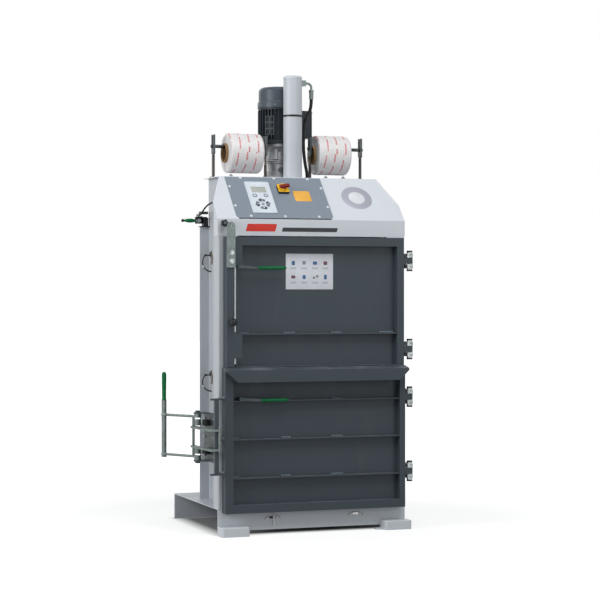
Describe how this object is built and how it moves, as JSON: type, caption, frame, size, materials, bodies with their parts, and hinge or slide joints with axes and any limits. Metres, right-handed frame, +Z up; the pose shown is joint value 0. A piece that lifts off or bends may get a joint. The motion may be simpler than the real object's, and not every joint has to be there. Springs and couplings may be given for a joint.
{
  "type": "recycling baler",
  "caption": "Upright recycling baler with two hinged doors, sloped control hood, loading lip, side toggle latch, hydraulic cylinder, motor and strapping rolls on top.",
  "frame": {"origin": "on the floor, under the middle of the bounding box", "axes": "+Z up, doors facing -Y, hinges on the +X side, latch on the -X side"},
  "size_m": [1.43, 1.047, 2.733],
  "materials": {
    "grey_paint": "semi-gloss",
    "light_paint": "semi-gloss",
    "door_paint": "semi-gloss",
    "panel_blue_grey": "satin",
    "galvanised": "dull",
    "steel": "satin",
    "green_grip": "satin",
    "black_plastic": "satin",
    "red_plastic": "gloss",
    "yellow_plastic": "gloss",
    "keypad_grey": "satin",
    "motor_paint": "satin",
    "aluminium_cast": "satin",
    "rubber_hose": "satin",
    "strap_white": "satin",
    "card_core": "matt",
    "brass_fitting": "satin",
    "black_steel": "satin"
  },
  "bodies": {
    "frame": {"base_plate": "grey_paint", "front_beam": "light_paint", "foot_left": "light_paint", "foot_right": "light_paint", "column_left": "grey_paint", "column_right": "grey_paint", "side_wall_left": "grey_paint", "side_wall_right": "grey_paint", "rear_wall": "grey_paint", "chamber_floor": "grey_paint", "head_beam": "grey_paint", "hood": "light_paint", "control_panel": "panel_blue_grey", "keypad": "keypad_grey", "switch_base": "yellow_plastic", "cylinder": "light_paint", "oil_tank": "grey_paint", "filler_cap": "black_plastic", "pump_housing": "aluminium_cast", "motor": "motor_paint", "fan_cowl": "motor_paint", "terminal_box": "motor_paint", "cylinder_fittings": "galvanised", "pressure_hose": "rubber_hose", "roll_stand_left": "black_steel", "roll_stand_right": "black_steel", "spindle_left": "steel", "spindle_right": "steel", "hinges_upper_door": "galvanised", "hinges_lower_door": "galvanised", "latch_console": "galvanised", "lever_block": "black_steel", "lever_cable": "rubber_hose", "strap_guide_upper": "brass_fitting", "strap_guide_lower": "brass_fitting", "hood_knob": "black_plastic"},
    "upper_door": {"upper_door": "door_paint", "interlock_strap": "galvanised"},
    "slide_bar": {"slide_bar": "galvanised", "ball_knob": "black_plastic"},
    "upper_lever": {"upper_lever": "galvanised", "upper_lever_grip": "green_grip"},
    "lower_door": {"lower_door": "door_paint", "door_lip": "door_paint", "latch_bracket": "door_paint"},
    "lower_lever": {"lower_lever": "galvanised", "lower_lever_grip": "green_grip"},
    "latch_handle": {"latch_handle": "galvanised", "latch_grip": "green_grip"},
    "latch_hook": {"latch_hook": "galvanised"},
    "side_lever": {"side_lever": "galvanised", "side_grip": "green_grip"},
    "switch_knob": {"switch_knob": "red_plastic"},
    "roll_left": {"roll_core_left": "card_core", "strap_roll_left": "strap_white"},
    "roll_right": {"roll_core_right": "card_core", "strap_roll_right": "strap_white"},
    "platen": {"platen": "door_paint", "piston_rod": "steel"}
  },
  "joints": [
    {"name": "upper_door_swing", "type": "hinge", "parent": "frame", "child": "upper_door", "pos_m": [0.69403, -0.4435, 1.341], "axis": [0, 0, 1], "range_deg": [0, 170]},
    {"name": "lower_door_swing", "type": "hinge", "parent": "frame", "child": "lower_door", "pos_m": [0.69403, -0.4435, 0.568], "axis": [0, 0, 1], "range_deg": [0, 170]},
    {"name": "slide_bar_lift", "type": "slide", "parent": "upper_door", "child": "slide_bar", "axis": [0, 0, 1], "range_m": [0, 0.06]},
    {"name": "upper_lever_turn", "type": "hinge", "parent": "upper_door", "child": "upper_lever", "pos_m": [-0.38597, -0.4685, 1.568], "axis": [0, -1, 0], "range_deg": [0, 80]},
    {"name": "lower_lever_turn", "type": "hinge", "parent": "lower_door", "child": "lower_lever", "pos_m": [-0.37597, -0.4685, 0.797], "axis": [0, -1, 0], "range_deg": [-70, 0]},
    {"name": "latch_handle_turn", "type": "hinge", "parent": "frame", "child": "latch_handle", "pos_m": [-0.55797, -0.1935, 0.568], "axis": [0, 0, 1], "range_deg": [0, 120]},
    {"name": "latch_hook_turn", "type": "hinge", "parent": "latch_handle", "child": "latch_hook", "pos_m": [-0.57602, -0.16954, 0.565], "axis": [0, 0, 1], "range_deg": [-140, 0]},
    {"name": "side_lever_turn", "type": "hinge", "parent": "frame", "child": "side_lever", "pos_m": [-0.44097, 0.1725, 1.854], "axis": [0, 1, 0], "range_deg": [-45, 0]},
    {"name": "switch_turn", "type": "hinge", "parent": "frame", "child": "switch_knob", "pos_m": [-0.03597, -0.23111, 2.04033], "axis": [0, -0.7248, 0.689], "range_deg": [0, 90]},
    {"name": "roll_left_spin", "type": "hinge", "parent": "frame", "child": "roll_left", "pos_m": [-0.18897, 0.0515, 2.2618], "axis": [1, 0, 0], "continuous": true},
    {"name": "roll_right_spin", "type": "hinge", "parent": "frame", "child": "roll_right", "pos_m": [0.37703, 0.0515, 2.2618], "axis": [1, 0, 0], "continuous": true},
    {"name": "platen_stroke", "type": "slide", "parent": "frame", "child": "platen", "axis": [0, 0, -1], "range_m": [0, 0.7]}
  ],
  "couplings": [
    {"joint": "latch_hook_turn", "follows": "latch_handle_turn", "ratio": -1.15}
  ]
}
